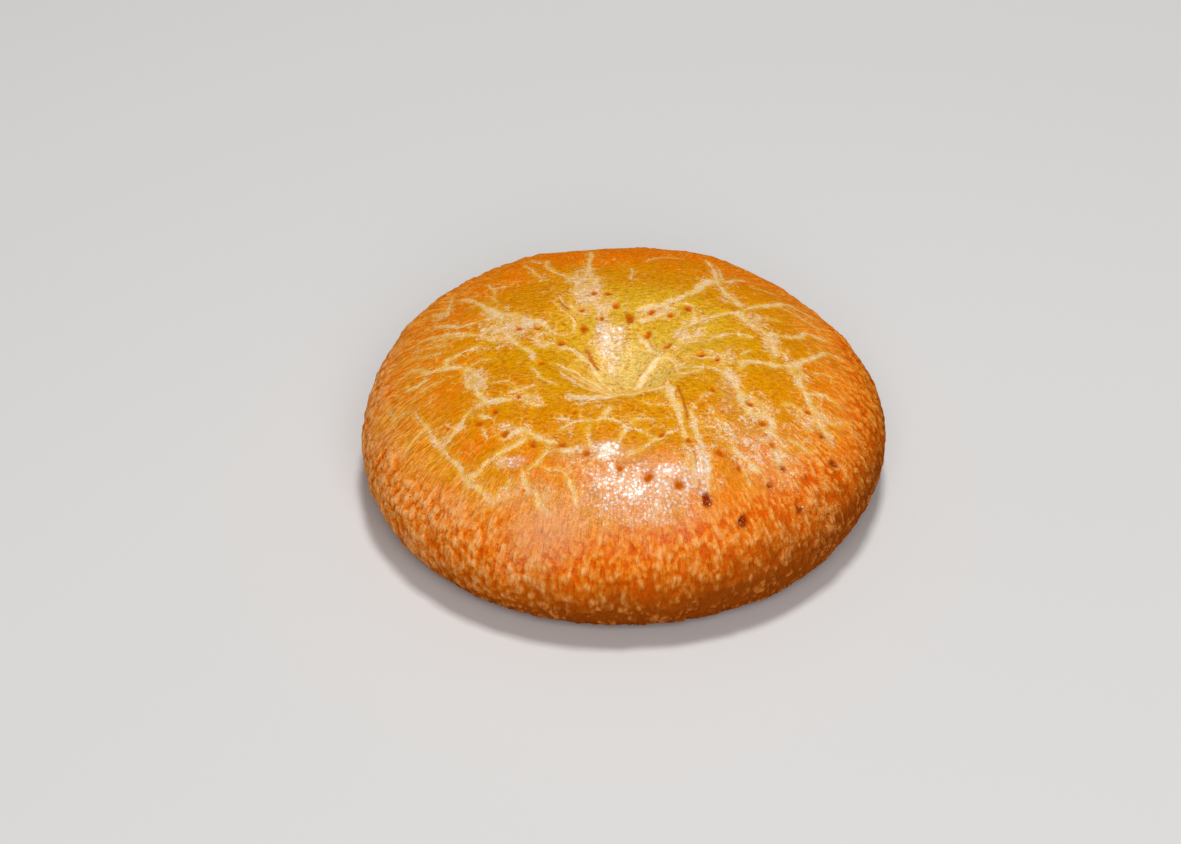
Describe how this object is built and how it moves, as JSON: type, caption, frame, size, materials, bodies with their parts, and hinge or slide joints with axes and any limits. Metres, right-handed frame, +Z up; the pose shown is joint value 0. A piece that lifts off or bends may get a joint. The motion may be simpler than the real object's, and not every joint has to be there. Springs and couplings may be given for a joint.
{
  "type": "round filled flatcake",
  "caption": "Round flat cake of filled yeast dough, baked whole, with a pressed hollow in the middle of its glazed and split top, docking holes and a flat base.",
  "frame": {"origin": "middle of the flat base, on the surface that the cake rests on", "axes": "+Z up out of the hollow in the top, and -Y towards the viewer, where the hollow's wall is steepest"},
  "size_m": [0.1002, 0.0992, 0.0311],
  "materials": {
    "crust": "glossy egg-washed golden crust with cream splits, over a satin blistered orange-brown side and a dry brown base"
  },
  "bodies": {
    "root": {"flatcake": "crust"}
  },
  "joints": []
}
